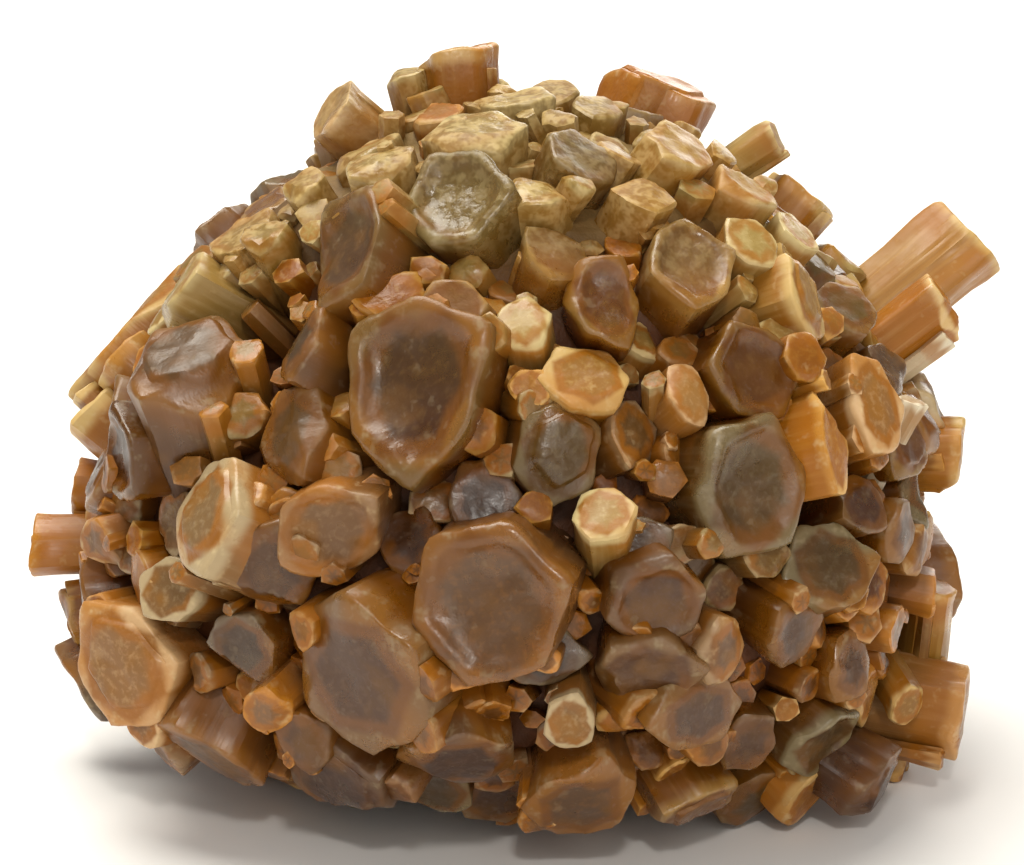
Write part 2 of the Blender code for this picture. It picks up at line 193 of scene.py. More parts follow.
def crevice_material():
    """Reddish brown made very dark as painted shade in the crevices, with olive-cream crust on the
    upper side.
    """
    material, nodes, links, shader = new_material("crevice_shade_brown", 0.62, 0.0)
    tree = material.node_tree
    place = nodes.new("ShaderNodeTexCoord").outputs["Object"]
    height = nodes.new("ShaderNodeSeparateXYZ")
    links.new(place, height.inputs[0])
    # Painted shade: the deep colour is the aragonite's reddish brown, made very dark for the crevices
    deep = mix_colours(tree, noise(tree, place, 420.0), colour(40, 18, 6), colour(108, 64, 30))
    crust = mix_colours(tree, noise(tree, place, 700.0), colour(104, 78, 40), colour(166, 140, 90))
    on_top = ramp(tree, height.outputs["Z"], 26.0 * MM, 34.0 * MM, 0.0, 0.8)
    links.new(mix_colours(tree, on_top, deep, crust), shader.inputs["Base Color"])
    bump = nodes.new("ShaderNodeBump")
    bump.inputs["Strength"].default_value = 0.6
    bump.inputs["Distance"].default_value = 0.2 * MM
    links.new(noise(tree, place, 1800.0, 5.0), bump.inputs["Height"])
    links.new(bump.outputs["Normal"], shader.inputs["Normal"])
    return material


bpy.ops.object.select_all(action="DESELECT")
bpy.ops.mesh.primitive_ico_sphere_add(subdivisions=6, radius=1.0)
core = bpy.context.object
core.name = "middle_mass"
for vert in core.data.vertices:
    crown = max(0.0, vert.co.dot(CROWN_MIDDLE) - CROWN_EDGE) / (1.0 - CROWN_EDGE)
    share = CORE_SHARE + CROWN_RISE * min(1.0, 2.0 * crown)
    if vert.co.angle(RECESS_MIDDLE) < RECESS_ANGLE:
        share -= RECESS_DEPTH
    reach = share / growth_level(vert.co)
    if vert.co.z < 0.0:
        reach = max(reach, CORE_DOWN * -vert.co.z)
    vert.co = GROWTH_CENTRE + vert.co * reach
displace(core, CORE_LUMP_SIZE, CORE_LUMPS)
displace(core, CORE_GRAIN_SIZE, CORE_GRAINS)
displace(core, CORE_GRAIN_SIZE / 2.0, CORE_GRAINS / 2.0)
level_off(core)
core.data.shade_smooth()
core.data.materials.append(crevice_material())
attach(core, "root")
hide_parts("aragonite_cluster")


# The crystals' own form
# Every crystal is a six-sided prism with grooved sides and a flat end, some ends hollowed a
# little inside a raised rim. A few are modelled here in full, and copied where each one grows.
# Their measures are in units of the prism's radius.
PRISM_LENGTH = 3.0
END_ZONE = 0.7
END_ROUNDING = 0.085
CORNER_DROP = 0.08
GROOVE_SIZE = 0.16
GROOVE_STRETCH = 14.0
WARP_SIZE = 0.9
WARP_STRETCH = 2.0
EDGE_ANGLE = math.radians(33.0)


def select_faces(item, wanted):
    """In edit mode, selects the faces for which wanted(face) is true."""
    bpy.ops.mesh.select_mode(type="FACE")
    mesh = bmesh.from_edit_mesh(item.data)
    for face in mesh.faces:
        face.select_set(wanted(face))
    bmesh.update_edit_mesh(item.data)


def select_edges(item, wanted):
    """In edit mode, selects the edges for which wanted(edge) is true."""
    bpy.ops.mesh.select_mode(type="EDGE")
    mesh = bmesh.from_edit_mesh(item.data)
    for edge in mesh.edges:
        edge.select_set(False)
    for edge in mesh.edges:
        if wanted(edge):
            edge.select_set(True)
    bmesh.update_edit_mesh(item.data)


def is_level(edge):
    """True for an edge that runs round the prism."""
    first, second = edge.verts
    return abs(first.co.z - second.co.z) < 1e-4


def is_end(face):
    """True for the face that closes the end of the prism."""
    return face.normal.z > 0.9 and face.calc_center_median().z > -0.5 and len(face.verts) > 4


def raise_end(item, narrowing, rise, shift, centre):
    """Grows the end face on by one ring: narrower, higher or lower, or off to a side."""
    select_faces(item, is_end)
    bpy.ops.mesh.extrude_region_move(TRANSFORM_OT_translate={"value": (*shift, rise)})
    bpy.ops.transform.resize(value=(narrowing, narrowing, 1.0), center_override=(*centre, 0.0))


def model_prism(name, strips, rows, rings, grooves, warp):
    """One prism of radius 1 along +Z with its end at the origin, and its rings of detail."""
    bpy.ops.object.select_all(action="DESELECT")
    edge_drop = END_ROUNDING
    bpy.ops.mesh.primitive_cylinder_add(
        vertices=6, radius=1.0, depth=PRISM_LENGTH - edge_drop,
        location=(0.0, 0.0, -(PRISM_LENGTH + edge_drop) / 2.0),
        rotation=(0.0, 0.0, math.radians(30.0)))
    item = bpy.context.object
    bpy.ops.object.transform_apply(location=True, rotation=True, scale=True)
    bpy.ops.object.mode_set(mode="EDIT")
    select_edges(item, is_level)
    bpy.ops.mesh.subdivide(number_cuts=strips - 1)
    select_edges(item, lambda edge: not is_level(edge))
    bpy.ops.mesh.subdivide(number_cuts=rows - 1)
    bpy.ops.object.mode_set(mode="OBJECT")
    displace(item, GROOVE_SIZE, grooves, stretch=GROOVE_STRETCH)
    corner_drop = CORNER_DROP / math.sqrt(strips)
    for vert in item.data.vertices:
        if vert.co.z > -2.0 * edge_drop:
            vert.co.z = -edge_drop
        if math.hypot(vert.co.x, vert.co.y) > 1.0 - 0.3 / strips:
            vert.co.x *= 1.0 - corner_drop
            vert.co.y *= 1.0 - corner_drop
    select_only(item)
    bpy.ops.object.mode_set(mode="EDIT")
    reached = (1.0, -edge_drop, (0.0, 0.0))
    for share, height, centre in rings:
        shift = (centre[0] - reached[2][0], centre[1] - reached[2][1])
        raise_end(item, share / reached[0], height - reached[1], shift, centre)
        reached = (share, height, centre)
    select_faces(item, is_end)
    bpy.ops.mesh.poke()
    bpy.ops.object.mode_set(mode="OBJECT")
    displace(item, WARP_SIZE, warp, stretch=WARP_STRETCH)
    pattern = item.data
    pattern.name = name
    bpy.data.objects.remove(item)
    return pattern


# Rings of an end face from its edge inwards: share of the radius, height, middle of the ring
MIDDLE = (0.0, 0.0)
ASIDE = (0.06, 0.04)
ROUNDED_EDGE = [(0.99, -0.05, MIDDLE), (0.96, -0.022, MIDDLE), (0.92, -0.006, MIDDLE)]
HOLLOW_END = ROUNDED_EDGE + [
    (0.85, 0.0, MIDDLE), (0.80, -0.012, MIDDLE), (0.75, -0.045, MIDDLE), (0.69, -0.09, MIDDLE),
    (0.60, -0.125, MIDDLE), (0.48, -0.145, MIDDLE), (0.32, -0.155, MIDDLE), (0.16, -0.16, MIDDLE)]
PLAIN_END = ROUNDED_EDGE + [
    (0.84, 0.0, MIDDLE), (0.73, 0.004, MIDDLE), (0.59, 0.008, MIDDLE), (0.45, 0.004, MIDDLE),
    (0.30, 0.0, MIDDLE), (0.15, 0.002, MIDDLE)]
STEPPED_END = ROUNDED_EDGE + [
    (0.82, 0.0, MIDDLE), (0.74, 0.012, ASIDE), (0.71, 0.04, ASIDE), (0.68, 0.08, ASIDE),
    (0.64, 0.10, ASIDE), (0.50, 0.105, ASIDE), (0.33, 0.105, ASIDE), (0.16, 0.10, ASIDE)]
MEDIUM_END = [(0.97, -0.045, MIDDLE), (0.91, -0.006, MIDDLE), (0.70, 0.0, MIDDLE),
              (0.35, 0.006, MIDDLE)]
SMALL_END = [(0.93, -0.04, MIDDLE), (0.70, 0.0, MIDDLE)]

PATTERNS = {
    "dished": [model_prism("hollow-ended prism", 8, 8, HOLLOW_END, 0.05, 0.10),
               model_prism("grooved hollow-ended prism", 8, 8, HOLLOW_END, 0.08, 0.14)],
    "plain": [model_prism("plain prism", 8, 8, PLAIN_END, 0.05, 0.12),
              model_prism("uneven prism", 8, 8, PLAIN_END, 0.09, 0.16)],
    "stepped": [model_prism("stepped prism", 8, 8, STEPPED_END, 0.06, 0.12)],
    "grooved": [model_prism("grooved prism", 12, 9, PLAIN_END, 0.13, 0.08)],
    "medium": [model_prism("medium prism", 4, 5, MEDIUM_END, 0.05, 0.12),
               model_prism("medium uneven prism", 4, 5, MEDIUM_END, 0.10, 0.16)],
    "small": [model_prism("small prism", 2, 3, SMALL_END, 0.06, 0.14),
              model_prism("small uneven prism", 2, 3, SMALL_END, 0.10, 0.18)],
}


# What the crystals are made of
# Aragonite from one pocket, clear to milky: each crystal has its own tone, a darker clear inside,
# an amber ring and a paler frosted rim, amber zones, and fine grooves along its length. The amber
# ring and the rim's paleness are partly painted glow of light through the crystal's thin edges,
# its pale specks are partly painted glints, and deep in the crevices it is darkened by painted shade.
TONES = {
    "dark": (colour(58, 27, 6), colour(120, 78, 34), "clear"),
    "umber": (colour(80, 46, 14), colour(150, 112, 60), "clear"),
    "amber": (colour(128, 78, 16), colour(172, 126, 58), "clear"),
    "flame": (colour(168, 106, 34), colour(218, 186, 130), "milky"),
    "white": (colour(184, 168, 138), colour(218, 206, 180), "milky"),
    "orange": (colour(168, 102, 22), colour(212, 164, 90), "clear"),
    "rust": (colour(136, 86, 34), colour(182, 144, 88), "milky"),
    "blush": (colour(124, 92, 64), colour(184, 124, 62), "clear"),
    "peach": (colour(148, 106, 64), colour(202, 166, 122), "milky"),
    "honey": (colour(152, 108, 48), colour(200, 168, 108), "milky"),
    "cream": (colour(158, 132, 76), colour(204, 184, 132), "milky"),
    "olive": (colour(120, 94, 42), colour(166, 142, 88), "clear"),
    "smoky": (colour(100, 78, 46), colour(158, 138, 98), "clear"),
    "grey": (colour(122, 98, 68), colour(176, 154, 118), "milky"),
    "slate": (colour(84, 64, 46), colour(136, 112, 84), "clear"),
    "lilac": (colour(102, 76, 54), colour(152, 122, 90), "milky"),
    "brown": (colour(98, 62, 30), colour(154, 112, 66), "clear"),
    "plum": (colour(76, 48, 30), colour(132, 96, 64), "clear"),
}
STRONG_TONES = ("flame", "white", "rust", "amber")

# The tones also change with height, along wavy limits that reach this much above the true height
ZONE_WAVE = 24.0 * MM
ZONES_SPAN = (12.0 * MM, 50.0 * MM)
CRUST_SPAN = (41.0 * MM, 48.0 * MM)


def zoning_group():
    """Colour, roughness and relief of one crystal, from its tone, its rim and its length, with painted
    glow at its rim, painted glints and painted shade deep in the crevices.
    """
    group = bpy.data.node_groups.new("growth_zoning_and_painted_light", "ShaderNodeTree")
    for name, kind in (("Body", "NodeSocketColor"), ("Rim Colour", "NodeSocketColor"),
                       ("Rim", "NodeSocketFloat"), ("Depth", "NodeSocketFloat"),
                       ("Shared", "NodeSocketFloat"),
                       ("Grain", "NodeSocketVector"), ("Place", "NodeSocketVector"),
                       ("Gloss", "NodeSocketFloat")):
        group.interface.new_socket(name=name, in_out="INPUT", socket_type=kind)
    for name, kind in (("Colour", "NodeSocketColor"), ("Roughness", "NodeSocketFloat"),
                       ("Height", "NodeSocketFloat")):
        group.interface.new_socket(name=name, in_out="OUTPUT", socket_type=kind)
    given = group.nodes.new("NodeGroupInput").outputs
    result = group.nodes.new("NodeGroupOutput").inputs
    cloudy = noise(group, given["Place"], 330.0, 2.0)
    specks = noise(group, given["Place"], 1400.0, 2.0, 0.7)
    streaks = noise(group, given["Grain"], 3.0, 2.0, 0.6)
    amber_zone = ramp(group, cloudy, 0.52, 0.70, 0.0, 0.6)
    pale_zone = ramp(group, cloudy, 0.44, 0.28, 0.0, 0.4)
    height = group.nodes.new("ShaderNodeSeparateXYZ")
    group.links.new(given["Place"], height.inputs[0])
    wavy = group.nodes.new("ShaderNodeMath")
    wavy.operation = "MULTIPLY_ADD"
    group.links.new(noise(group, given["Place"], 110.0, 2.0), wavy.inputs[0])
    wavy.inputs[1].default_value = ZONE_WAVE
    group.links.new(height.outputs["Z"], wavy.inputs[2])
    zones = group.nodes.new("ShaderNodeValToRGB")
    group.links.new(ramp(group, wavy.outputs[0], *ZONES_SPAN), zones.inputs[0])
    stops = zones.color_ramp.elements
    stops[0].position, stops[0].color = 0.0, colour(100, 68, 42)
    stops[1].position, stops[1].color = 1.0, colour(160, 136, 82)
    for position, tone in ((0.30, colour(108, 70, 36)), (0.52, colour(124, 82, 36)),
                           (0.76, colour(144, 112, 58))):
        stop = stops.new(position)
        stop.color = tone
    body = mix_colours(group, given["Shared"], given["Body"], zones.outputs["Color"])
    body = mix_colours(group, amber_zone, body, colour(148, 98, 34))
    body = mix_colours(group, pale_zone, body, given["Rim Colour"])
    body = mix_colours(group, ramp(group, streaks, 0.45, 0.75, 0.0, 0.3), body,
                       given["Rim Colour"])
    patches = noise(group, given["Place"], 210.0, 1.0)
    # Painted glow: amber on the rim and as a ring inside it stands for light glowing through the
    # crystal's thin edges. The pale rim over it is partly the frosted edge and partly painted glow and
    # highlight
    amber_rim_glow = ramp(group, patches, 0.46, 0.62, 0.0, 0.8)
    rim = mix_colours(group, amber_rim_glow, given["Rim Colour"], colour(176, 116, 44))
    # Pale specks on the rim: partly frost, partly painted glints
    rim = mix_colours(group, ramp(group, specks, 0.50, 0.72, 0.0, 0.3), rim,
                      colour(214, 194, 150))
    glow_ring_strength = ramp(group, patches, 0.34, 0.54, 0.15, 0.65)
    ring = mix_colours(group, glow_ring_strength, body, colour(158, 97, 22))
    body = mix_colours(group, ramp(group, given["Rim"], 0.02, 0.26), body, ring)
    body = mix_colours(group, ramp(group, given["Rim"], 0.42, 0.78), body, rim)
    # Pale flecks all over: partly frost, partly painted glints
    frost_flecks_and_glints = ramp(group, specks, 0.60, 0.72, 0.0, 0.16)
    body = mix_colours(group, frost_flecks_and_glints, body, colour(206, 182, 138))
    sand = mix_colours(group, ramp(group, specks, 0.40, 0.62), colour(132, 106, 58),
                       colour(184, 160, 108))
    crust = mix_colours(group, ramp(group, wavy.outputs[0], *CRUST_SPAN, 0.0, 0.7),
                        (0.0, 0.0, 0.0, 1.0), ramp(group, given["Shared"], 0.0, 0.3))
    body = mix_colours(group, crust, body, sand)
    # Painted shade: deep in the crevices the colour is multiplied down to a dark reddish brown
    dark = mix_colours(group, 1.0, body, (0.42, 0.23, 0.11, 1.0), "MULTIPLY")
    group.links.new(mix_colours(group, given["Depth"], body, dark), result["Colour"])
    rough = group.nodes.new("ShaderNodeMath")
    rough.operation = "MULTIPLY_ADD"
    group.links.new(ramp(group, cloudy, 0.35, 0.65, 0.8, 1.5), rough.inputs[0])
    group.links.new(given["Gloss"], rough.inputs[1])
    group.links.new(ramp(group, specks, 0.45, 0.75, 0.0, 0.15), rough.inputs[2])
    group.links.new(rough.outputs[0], result["Roughness"])
    relief = group.nodes.new("ShaderNodeMath")
    relief.operation = "MULTIPLY_ADD"
    group.links.new(specks, relief.inputs[0])
    group.links.new(ramp(group, wavy.outputs[0], *CRUST_SPAN, 0.35, 2.2), relief.inputs[1])
    group.links.new(streaks, relief.inputs[2])
    group.links.new(relief.outputs[0], result["Height"])
    return group


ZONING = zoning_group()


def crystal_material(name, gloss, transmission):
    """Aragonite of one clarity, whose colour comes from what each crystal carries."""
    material, nodes, links, shader = new_material(name, gloss, transmission)
    zoning = nodes.new("ShaderNodeGroup")
    zoning.node_tree = ZONING
    zoning.inputs["Gloss"].default_value = gloss
    for attribute, output, socket in (("body", "Color", "Body"), ("rim_colour", "Color", "Rim Colour"),
                                      ("rim", "Fac", "Rim"), ("depth", "Fac", "Depth"),
                                      ("shared", "Fac", "Shared"), ("grain", "Vector", "Grain")):
        carried = nodes.new("ShaderNodeAttribute")
        carried.attribute_name = attribute
        links.new(carried.outputs[output], zoning.inputs[socket])
    links.new(nodes.new("ShaderNodeTexCoord").outputs["Object"], zoning.inputs["Place"])
    links.new(zoning.outputs["Colour"], shader.inputs["Base Color"])
    links.new(zoning.outputs["Roughness"], shader.inputs["Roughness"])
    bump = nodes.new("ShaderNodeBump")
    bump.inputs["Strength"].default_value = 0.30
    bump.inputs["Distance"].default_value = 0.1 * MM
    links.new(zoning.outputs["Height"], bump.inputs["Height"])
    links.new(bump.outputs["Normal"], shader.inputs["Normal"])
    return material


def clear_material():
    """The see-through crystals, which take up more of the light the deeper it goes."""
    material = crystal_material("clear_aragonite", 0.29, 0.5)
    nodes = material.node_tree.nodes
    absorb = nodes.new("ShaderNodeVolumeAbsorption")
    absorb.inputs["Color"].default_value = (0.95, 0.68, 0.34, 1.0)
    absorb.inputs["Density"].default_value = 260.0
    material.node_tree.links.new(absorb.outputs["Volume"],
                                 nodes["Material Output"].inputs["Volume"])
    return material


MINERAL = {"clear": clear_material(), "milky": crystal_material("milky_aragonite", 0.32, 0.0)}


# The crystals on the middle of the front
# The widest prisms, which point at the viewer: amber-brown ends with a pale rim, and smaller
# ones wedged between them. Each stands on the line from the growth centre, or leans from it.
ROOT_LEVEL = 0.72
CORNER_JITTER = 0.18
END_SLOPE = 0.16
STREAK_WIDTH = 2.4 * MM
BROKEN_CORNERS = (0, 1, 2, 2, 3, 4)
BROKEN_FROM = (0.35, 0.85)
BROKEN_SLOPE = (0.4, 1.2)
BROKEN_DEEPEST = 0.55
RIM_FROM = 0.50
RIM_SPAN = 0.40
RIM_FADE = 0.5
ROOT_NARROWING = 0.12
TONE_SPREAD = (0.86, 1.12)
WARMTH_SPREAD = (0.95, 1.05)
# Where the painted crevice shade begins inside the growth surface, and how far in it is full
CREVICE_SHADE_FROM = 1.0
CREVICE_SHADE_SPAN = 0.20
SHARED_LARGE = 0.30
SHARED_SMALL = 0.65
CLEAR_FROM = 3.2 * MM
FULL_DETAIL_FROM = 3.2 * MM
MEDIUM_DETAIL_FROM = 1.9 * MM
MEDIUM_SLIM_FROM = 1.6 * MM
SLIM_SPACING = 2.1 * MM
SLIM_SHARE = (0.18, 0.42)
SLIM_DROP = (-0.2, 1.6)
SLIM_OUT = (0.36, 0.50)
SLIM_FLATNESS = (0.8, 1.2)
SHORTEST = 2.0 * MM
LUMP_SIZE = 2.4 * MM
PIT_SIZE = 0.8 * MM
FRONT_LEAN = 14.0
WIDENING = 1.10
FOOTPRINTS = (0.0, 0.25, 0.5)
chance = random.Random(23)
grown = []


def seen_place(across, up):
    """The offset where the sight line through a seen place first meets the growth surface."""
    eye = TOWARD * EYE_DISTANCE + UP * EYE_LIFT
    sight = (RIGHT * across + UP * up - eye).normalized()
    best = None
    best_level = math.inf
    steps = 400
    for step in range(steps):
        offset = eye + sight * EYE_DISTANCE * (0.8 + 0.3 * step / steps)
        level = growth_level(offset)
        if level <= 1.0:
            return offset
        if level < best_level:
            best = offset
            best_level = level
    return best


def hexagon_reach(points):
    """How near each point is to the sides of the hexagon: 1 on the sides, 0 in the middle."""
    angles = np.radians(np.arange(0.0, 360.0, 60.0))
    sides = np.stack((np.cos(angles), np.sin(angles)))
    return (points[:, :2] @ sides).max(axis=1) / math.cos(math.radians(30.0))


def broken_end(points):
    """How far below the whole end each point lies, where corners are broken off at a slant."""
    fall = np.zeros(len(points))
    for _ in range(chance.choice(BROKEN_CORNERS)):
        around = chance.uniform(0.0, math.tau)
        beyond = points[:, 0] * math.cos(around) + points[:, 1] * math.sin(around)
        beyond -= chance.uniform(*BROKEN_FROM)
        fall = np.maximum(fall, beyond * chance.uniform(*BROKEN_SLOPE))
    return np.minimum(fall, BROKEN_DEEPEST)


def carry(mesh, name, kind, values):
    """Stores one value for each vertex in the mesh, for the material to read."""
    attribute = mesh.attributes.new(name, kind, "POINT")
    field = {"FLOAT": "value", "FLOAT_VECTOR": "vector", "FLOAT_COLOR": "color"}[kind]
    attribute.data.foreach_set(field, np.ascontiguousarray(values, np.float32).ravel())


def crevice_shade(placed):
    """0 on the growth surface and outside it, rising to 1 deep in the crevices, where painted shade
    darkens the crystals.
    """
    offset = placed - np.array(tuple(GROWTH_CENTRE))
    up = np.where(offset[:, 2] >= 0.0, GROWTH_UP, GROWTH_DOWN)
    level = np.sqrt((offset[:, 0] / GROWTH_ACROSS) ** 2 + (offset[:, 1] / GROWTH_DEEP) ** 2
                    + (offset[:, 2] / up) ** 2)
    return np.clip((CREVICE_SHADE_FROM - level) / CREVICE_SHADE_SPAN, 0.0, 1.0)


def grow(pattern, tip, axis, side_hint, wide, tall, length, turn, tone, shared=SHARED_LARGE):
    """Copies a pattern crystal to where it grows, with its own irregular outline and tone."""
    mesh = chance.choice(PATTERNS[pattern]).copy()
    count = len(mesh.vertices)
    points = np.empty(count * 3, np.float32)
    mesh.vertices.foreach_get("co", points)
    points = points.reshape(-1, 3).astype(float)
    reach = hexagon_reach(points)
    narrow = min(wide, tall) / 2.0
    corners = [1.0 + chance.uniform(-CORNER_JITTER, CORNER_JITTER) for _ in range(6)]
    around = np.degrees(np.arctan2(points[:, 1], points[:, 0])) % 360.0
    swell = np.interp(around, np.arange(7) * 60.0, corners + corners[:1])
    depth = np.clip(-points[:, 2], 0.0, None)
    slope = (chance.uniform(-END_SLOPE, END_SLOPE), chance.uniform(-END_SLOPE, END_SLOPE))
    fall = broken_end(points)
    shift = chance.uniform(0.0, 50.0)
    carry(mesh, "grain", "FLOAT_VECTOR", np.stack(
        (points[:, 0] * wide / STREAK_WIDTH + shift, points[:, 1] * tall / STREAK_WIDTH,
         points[:, 2] * 0.15), axis=1))
    # The rim mask: the paler frosted edge of the end, and where the painted glow of light through the
    # edges is laid
    rim = np.clip((reach - RIM_FROM) / RIM_SPAN, 0.0, 1.0) ** 1.3
    rim *= np.exp(-np.clip(depth - END_ROUNDING, 0.0, None) / RIM_FADE)
    carry(mesh, "rim", "FLOAT", rim * chance.uniform(0.6, 1.0))
    stretched = np.where(depth < END_ZONE, depth * narrow,
                         END_ZONE * narrow + (depth - END_ZONE) / (PRISM_LENGTH - END_ZONE)
                         * max(length - END_ZONE * narrow, 0.0))
    end_zone = np.clip(1.0 - depth / END_ZONE, 0.0, 1.0)
    sunk = fall + points[:, 0] * slope[0] + points[:, 1] * slope[1]
    height = np.where(points[:, 2] > 0.0, points[:, 2] * narrow, -stretched) - sunk * end_zone * narrow
    turned = math.radians(turn)
    spun_x = (points[:, 0] * math.cos(turned) - points[:, 1] * math.sin(turned)) * swell
    spun_y = (points[:, 0] * math.sin(turned) + points[:, 1] * math.cos(turned)) * swell
    taper = 1.0 - ROOT_NARROWING * np.clip(stretched / max(length, MM), 0.0, 1.0)
    local = np.stack((spun_x * wide / 2.0 * taper, spun_y * tall / 2.0 * taper, height), axis=1)
    side = side_hint.cross(axis).normalized()
    rise = axis.cross(side).normalized()
    frame_axes = np.array((tuple(side), tuple(rise), tuple(axis)))
    placed = local @ frame_axes + np.array(tuple(tip))
    mesh.vertices.foreach_set("co", placed.astype(np.float32).ravel())
    # How deep in the crevices each point lies, which sets the painted shade there
    carry(mesh, "depth", "FLOAT", crevice_shade(placed))
    carry(mesh, "shared", "FLOAT", np.full(count, 0.0 if tone in STRONG_TONES else shared))
    body, rim_tone, clarity = TONES[tone]
    vary = chance.uniform(*TONE_SPREAD)
    warm = chance.uniform(*WARMTH_SPREAD)
    tint = (body[0] * vary, body[1] * vary * warm, body[2] * vary * warm * warm, 1.0)
    carry(mesh, "body", "FLOAT_COLOR", np.tile(tint, (count, 1)))
    carry(mesh, "rim_colour", "FLOAT_COLOR", np.tile(rim_tone, (count, 1)))
    mesh.materials.clear()
    mesh.materials.append(MINERAL[clarity if min(wide, tall) > CLEAR_FROM else "milky"])
    item = bpy.data.objects.new("crystal", mesh)
    bpy.context.scene.collection.objects.link(item)
    return item


def with_satellites(pattern, tip, axis, side_hint, wide, tall, length, turn, tone):
    """A crystal and the slimmer ones that grew beside it, parallel to it, some a little shorter."""
    items = [grow(pattern, tip, axis, side_hint, wide, tall, length, turn, tone)]
    side = side_hint.cross(axis).normalized()
    rise = axis.cross(side).normalized()
    most = round(max(wide, tall) / SLIM_SPACING)
    for _ in range(chance.randint(most // 2, most)):
        around = chance.uniform(0.0, math.tau)
        share = chance.uniform(*SLIM_SHARE)
        drop = chance.uniform(*SLIM_DROP) * MM
        out = chance.uniform(*SLIM_OUT)
        offset = side * math.cos(around) * wide * out + rise * math.sin(around) * tall * out
        items.append(grow("medium" if wide * share > MEDIUM_SLIM_FROM else "small",
                          tip + offset - axis * drop, axis, side_hint, wide * share,
                          wide * share * chance.uniform(*SLIM_FLATNESS),
                          max(length - drop, SHORTEST),
                          turn, tone, SHARED_SMALL))
    return items


def pattern_for(wide, form):
    """The pattern with as much detail as a crystal of this width shows."""
    if wide > FULL_DETAIL_FROM:
        return form
    return "medium" if wide > MEDIUM_DETAIL_FROM else "small"


def end_on(rows):
    """Crystals that point at the viewer, from rows of where their end faces are seen."""
    items = []
    for across, up, wide, tall, turn, out, form, tone, *lean in rows:
        offset = seen_place(across * MM, up * MM)
        direction = offset.normalized()
        aside, upward = lean or (chance.uniform(-FRONT_LEAN, FRONT_LEAN) for _ in range(2))
        reach = offset.length + out * MM
        length = reach - offset.length * ROOT_LEVEL
        grown.append((direction, (wide + tall) / 4.0 * MM))
        axis = direction + RIGHT * math.tan(math.radians(aside))
        axis = (axis + UP * math.tan(math.radians(upward))).normalized()
        items += with_satellites(pattern_for(min(wide, tall) * MM, form),
                                 GROWTH_CENTRE + direction * reach, axis, UP,
                                 wide * WIDENING * MM, tall * WIDENING * MM, length, turn, tone)
    return items


def join_piece(items, name, unevenness=0.16 * MM):
    """Joins crystals into one piece that rides with the cluster, and roughens them a little."""
    bpy.ops.object.select_all(action="DESELECT")
    for item in items:
        item.select_set(True)
    bpy.context.view_layer.objects.active = items[0]
    bpy.ops.object.join()
    piece = bpy.context.object
    piece.name = name
    piece.data.name = name
    displace(piece, LUMP_SIZE, unevenness * 2.5)
    displace(piece, PIT_SIZE, unevenness * 0.5)
    level_off(piece)
    piece.data.shade_smooth()
    select_only(piece)
    bpy.ops.object.shade_smooth_by_angle(angle=EDGE_ANGLE)
    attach(piece, "root")
    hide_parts("aragonite_cluster")
    return piece


# Columns: across, up, wide and tall of the end face as seen, turn, how far it stands out, form,
# tone, and for those that lean, how far aside and upward in degrees
join_piece(end_on([
    (-4.9, 8.8, 7.0, 9.2, 30, 1.2, "dished", "umber", -4, -12),
    (-1.1, -2.1, 7.2, 7.4, 14, 2.6, "dished", "blush", -8, -8),
    (-7.6, -5.7, 7.8, 7.6, 20, 1.4, "plain", "brown", -24, -16),
    (-9.2, 1.3, 4.8, 5.2, 30, 1.1, "dished", "lilac", 4, -22),
    (-1.7, 3.4, 3.4, 3.4, 0, -1.0, "plain", "plum"),
    (-5.6, 1.1, 3.0, 3.2, 15, -0.7, "plain", "plum"),
    (1.5, -5.2, 4.2, 3.4, 0, -0.4, "plain", "slate"),
    (2.5, 5.8, 4.2, 5.2, 20, 0.0, "stepped", "smoky", 16, -18),
    (4.1, 9.6, 4.2, 3.4, 0, 0.2, "plain", "honey"),
    (4.5, 2.4, 3.0, 3.0, 10, 1.2, "plain", "cream", -14, 22),
    (6.6, 1.0, 3.2, 3.0, 20, 0.2, "plain", "slate"),
    (6.7, 7.0, 2.8, 3.4, 5, -0.7, "plain", "slate", 24, 4),
    (9.1, 8.4, 2.1, 3.4, 0, 0.6, "plain", "peach"),
    (7.2, -2.3, 5.6, 5.0, 22, 1.2, "dished", "plum", 0, -20),
    (6.7, -6.0, 5.0, 4.2, 5, 0.6, "plain", "brown", -16, -22),
    (12.1, 3.7, 6.2, 6.4, 10, 1.2, "dished", "smoky", 6, -10),
    (12.5, 9.7, 5.2, 4.8, 0, 0.9, "dished", "amber", -6, -14),
]), "middle_crystals")


# The crystals at the foot
# Smoky brown prisms low on the front, some with orange patches, whose lower ends are what the
# cluster stands on.
join_piece(end_on([
    (-2.6, -10.2, 5.9, 5.6, 32, 1.0, "plain", "plum", 14, -30),
    (3.3, -12.0, 5.2, 5.2, 8, 1.5, "plain", "blush", -8, -24),
    (8.9, -12.0, 4.8, 4.2, 0, 1.6, "stepped", "orange", 16, -28),
    (2.9, -8.2, 2.4, 2.9, 15, 1.2, "plain", "grey"),
    (9.6, -7.9, 6.6, 4.4, 12, 0.6, "plain", "brown", 18, -14),
    (12.5, -9.6, 3.0, 3.2, 0, 0.2, "plain", "brown"),
    (-9.0, -11.4, 6.4, 4.8, 10, 0.6, "stepped", "plum", -16, -26),
    (-10.8, -9.4, 3.2, 3.4, 25, 0.4, "plain", "brown"),
    (12.4, -12.4, 3.2, 4.4, 10, 0.6, "plain", "smoky", 14, -24),
    (15.2, -12.4, 3.0, 3.4, 0, 0.4, "plain", "rust"),
]), "foot_crystals")


